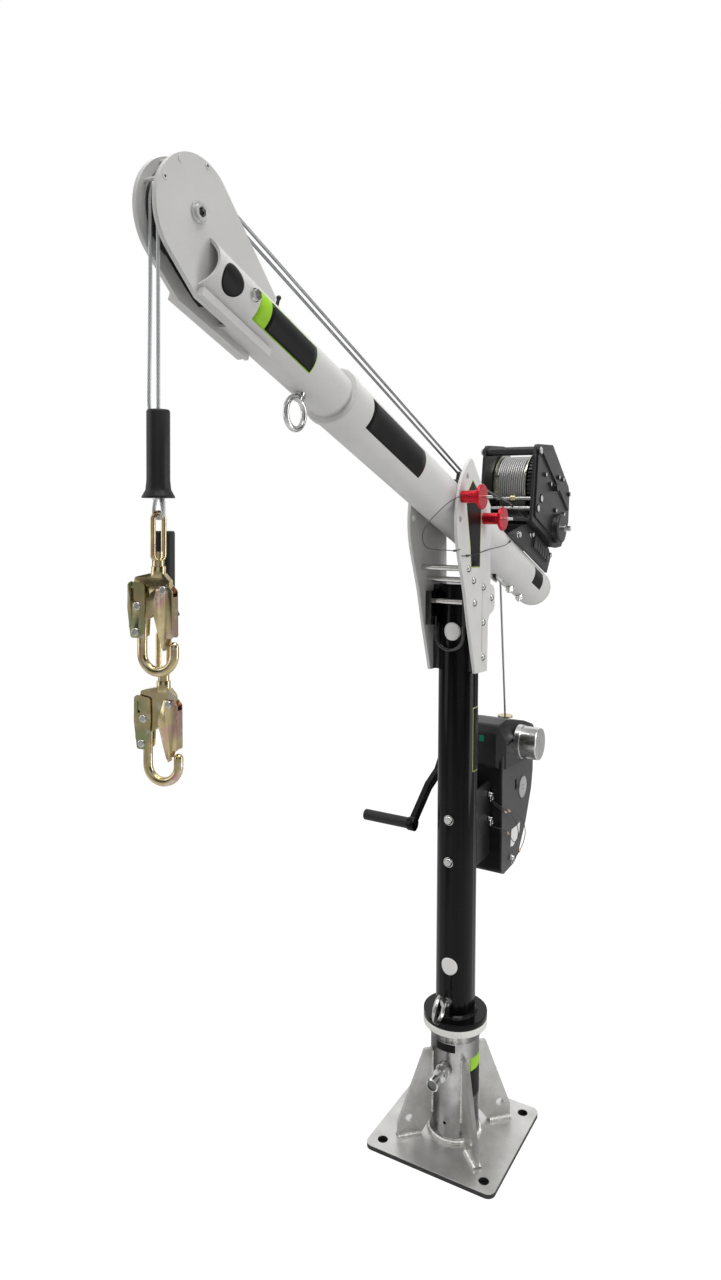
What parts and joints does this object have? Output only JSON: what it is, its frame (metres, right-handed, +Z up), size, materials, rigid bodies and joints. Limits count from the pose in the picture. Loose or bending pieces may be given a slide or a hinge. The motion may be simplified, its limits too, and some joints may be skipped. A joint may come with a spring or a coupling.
{
  "type": "davit crane",
  "caption": "Portable rescue davit with a bolted base, turning mast, tilting boom, drum winch, retrieval block and rope ends with snap hooks.",
  "frame": {"origin": "centre of the base plate's underside, on the mast's axis", "axes": "+Z up along the mast, +X the way the boom points, +Y towards the side of the winch's gear cover"},
  "size_m": [1.8167, 0.4479, 2.1482],
  "materials": {
    "stainless": "brushed stainless with ground welds",
    "liner_white": "satin bearing plastic",
    "black_paint": "gloss black coat",
    "boom_paint": "satin warm white coat",
    "gold_zinc": "yellow zinc coat",
    "rope_steel": "laid galvanised wire",
    "bolt_steel": "bright zinc coat",
    "red_anodised": "red anodised",
    "winch_black": "matt dark powder coat",
    "black_plastic": "moulded, fine grain",
    "cover_grey": "moulded, satin",
    "clutch_silver": "turned",
    "sheave_plastic": "turned polymer",
    "gland_brass": "turned",
    "bumper_rubber": "moulded",
    "wire_black": "coated wire"
  },
  "bodies": {
    "base": {"base_plate": "stainless", "base_sleeve": "stainless", "base_gussets": "stainless", "base_liner": "liner_white"},
    "plunger": {"plunger": "bolt_steel"},
    "mast": {"mast_tube": "black_paint", "mast_fittings": "bolt_steel", "head_plate_near": "boom_paint", "head_plate_far": "boom_paint", "head_spacers": "bolt_steel", "tie_off_hoop": "black_paint", "srl_case": "black_plastic", "srl_cover": "cover_grey", "srl_cap": "black_plastic", "srl_guide": "gland_brass", "srl_clutch": "clutch_silver", "srl_bracket": "black_paint", "srl_lanyards": "wire_black", "lanyard_lock": "wire_black", "lanyard_saddle": "wire_black", "rope_drop": "rope_steel"},
    "lock_pin": {"lock_pin": "red_anodised"},
    "pivot_pin": {"pivot_pin": "red_anodised"},
    "arm": {"boom_lower": "boom_paint", "boom_collar": "boom_paint", "boom_upper": "boom_paint", "cheek_near": "boom_paint", "cheek_far": "boom_paint", "head_axle": "bolt_steel", "rope_guide": "winch_black", "boom_fittings": "bolt_steel", "pulley_bracket": "boom_paint", "winch_saddle": "winch_black", "winch_plates": "winch_black", "winch_bars": "bolt_steel", "winch_cover": "winch_black", "rope_winch": "rope_steel", "rope_retrieval": "rope_steel"},
    "drum": {"winch_drum": "gold_zinc", "winch_winding": "rope_steel"},
    "drive": {"winch_drive": "bolt_steel"},
    "sheave_near": {"sheave_near": "sheave_plastic"},
    "sheave_far": {"sheave_far": "sheave_plastic"},
    "boom_pulley": {"boom_pulley": "sheave_plastic"},
    "crank": {"crank_arm": "black_paint"},
    "grip": {"crank_grip": "black_plastic"},
    "hang_near": {"rope_hang_near": "rope_steel"},
    "hoist_near": {"rope_eye_near": "rope_steel", "bumper_near": "bumper_rubber", "link_near": "gold_zinc"},
    "hook_near": {"hook_near": "gold_zinc"},
    "gate_near": {"gate_near": "gold_zinc"},
    "lever_near": {"lever_near": "gold_zinc"},
    "hang_far": {"rope_hang_far": "rope_steel"},
    "hoist_far": {"rope_eye_far": "rope_steel", "bumper_far": "bumper_rubber", "link_far": "gold_zinc"},
    "hook_far": {"hook_far": "gold_zinc"},
    "gate_far": {"gate_far": "gold_zinc"},
    "lever_far": {"lever_far": "gold_zinc"}
  },
  "joints": [
    {"name": "plunger_pull", "type": "slide", "parent": "base", "child": "plunger", "axis": [1, 0, 0], "range_m": [0, 0.012], "stiffness_N_per_m": 800, "springref_m": -0.02},
    {"name": "mast_turn", "type": "hinge", "parent": "base", "child": "mast", "pos_m": [0, 0, 0.3], "axis": [0, 0, 1], "continuous": true},
    {"name": "lock_pin_pull", "type": "slide", "parent": "mast", "child": "lock_pin", "axis": [0, 1, 0], "range_m": [0, 0.05], "deforming": ["lanyard_lock"]},
    {"name": "pivot_pin_pull", "type": "slide", "parent": "mast", "child": "pivot_pin", "axis": [0, 1, 0], "range_m": [0, 0.04]},
    {"name": "arm_tilt", "type": "hinge", "parent": "mast", "child": "arm", "pos_m": [0, 0, 1.598], "axis": [0, -1, 0], "range_deg": [-21.1, 22.9], "deforming": ["rope_winch", "rope_retrieval", "rope_drop", "lanyard_saddle"]},
    {"name": "drum_spin", "type": "hinge", "parent": "arm", "child": "drum", "pos_m": [-0.51071, 0, 1.68819], "axis": [0, 1, 0], "range_deg": [-348.66, 69.73]},
    {"name": "drive_spin", "type": "hinge", "parent": "arm", "child": "drive", "pos_m": [-0.54546, 0, 1.56458], "axis": [0, 1, 0], "range_deg": [-250.04, 1246.2]},
    {"name": "sheave_near_spin", "type": "hinge", "parent": "arm", "child": "sheave_near", "pos_m": [1.03824, 0.0075, 2.06293], "axis": [0, 1, 0], "range_deg": [-99.22, 492.11]},
    {"name": "sheave_far_spin", "type": "hinge", "parent": "arm", "child": "sheave_far", "pos_m": [1.03824, -0.0075, 2.06293], "axis": [0, 1, 0], "range_deg": [-82.85, 410.26]},
    {"name": "boom_pulley_spin", "type": "hinge", "parent": "arm", "child": "boom_pulley", "pos_m": [-0.28866, -0.0075, 1.44052], "axis": [0, 1, 0], "range_deg": [-287.48, 1433.39]},
    {"name": "crank_turn", "type": "hinge", "parent": "mast", "child": "crank", "pos_m": [-0.25, -0.1, 0.977], "axis": [0, 1, 0], "continuous": true},
    {"name": "grip_spin", "type": "hinge", "parent": "crank", "child": "grip", "pos_m": [-0.004, -0.2, 0.783], "axis": [0, 1, 0], "continuous": true},
    {"name": "hang_near_swing", "type": "hinge", "parent": "arm", "child": "hang_near", "pos_m": [1.03824, 0.0075, 2.06293], "axis": [0, -1, 0], "range_deg": [-23.5, 21.7]},
    {"name": "hoist_near_travel", "type": "slide", "parent": "hang_near", "child": "hoist_near", "axis": [0, 0, 1], "range_m": [-0.602, 0.122], "deforming": ["rope_hang_near"]},
    {"name": "hook_near_swivel", "type": "hinge", "parent": "hoist_near", "child": "hook_near", "pos_m": [1.10824, 0.0075, 1.52883], "axis": [0, 0, 1], "range_deg": [-20, 20]},
    {"name": "gate_near_open", "type": "hinge", "parent": "hook_near", "child": "gate_near", "pos_m": [1.10533, 0.01914, 1.50183], "axis": [-0.9703, -0.2419, 0], "range_deg": [0, 14], "stiffness_Nm_per_rad": 0.4, "springref_deg": -45.84},
    {"name": "lever_near_press", "type": "hinge", "parent": "hook_near", "child": "lever_near", "pos_m": [1.11605, -0.02384, 1.43983], "axis": [-0.9703, -0.2419, 0], "range_deg": [0, 4], "stiffness_Nm_per_rad": 0.6, "springref_deg": -45.84},
    {"name": "hang_far_swing", "type": "hinge", "parent": "arm", "child": "hang_far", "pos_m": [1.03824, -0.0075, 2.06293], "axis": [0, -1, 0], "range_deg": [-23.5, 21.7]},
    {"name": "hoist_far_travel", "type": "slide", "parent": "hang_far", "child": "hoist_far", "axis": [0, 0, 1], "range_m": [-0.5, 0.1], "deforming": ["rope_hang_far"]},
    {"name": "hook_far_swivel", "type": "hinge", "parent": "hoist_far", "child": "hook_far", "pos_m": [1.06824, -0.0196, 1.35183], "axis": [0, 0, 1], "range_deg": [-20, 20]},
    {"name": "gate_far_open", "type": "hinge", "parent": "hook_far", "child": "gate_far", "pos_m": [1.06533, -0.00796, 1.32483], "axis": [-0.9703, -0.2419, 0], "range_deg": [0, 14], "stiffness_Nm_per_rad": 0.4, "springref_deg": -45.84},
    {"name": "lever_far_press", "type": "hinge", "parent": "hook_far", "child": "lever_far", "pos_m": [1.07605, -0.05094, 1.26283], "axis": [-0.9703, -0.2419, 0], "range_deg": [0, 4], "stiffness_Nm_per_rad": 0.6, "springref_deg": -45.84}
  ],
  "couplings": [
    {"joint": "drive_spin", "follows": "drum_spin", "ratio": -3.5714},
    {"joint": "sheave_near_spin", "follows": "drum_spin", "ratio": -1.4086},
    {"joint": "hoist_near_travel", "follows": "drum_spin", "m_per_rad": 0.0986},
    {"joint": "sheave_far_spin", "follows": "hoist_far_travel", "rad_per_m": -14.286},
    {"joint": "boom_pulley_spin", "follows": "hoist_far_travel", "rad_per_m": -50},
    {"joint": "hang_near_swing", "follows": "arm_tilt", "ratio": -1},
    {"joint": "hang_far_swing", "follows": "arm_tilt", "ratio": -1}
  ]
}
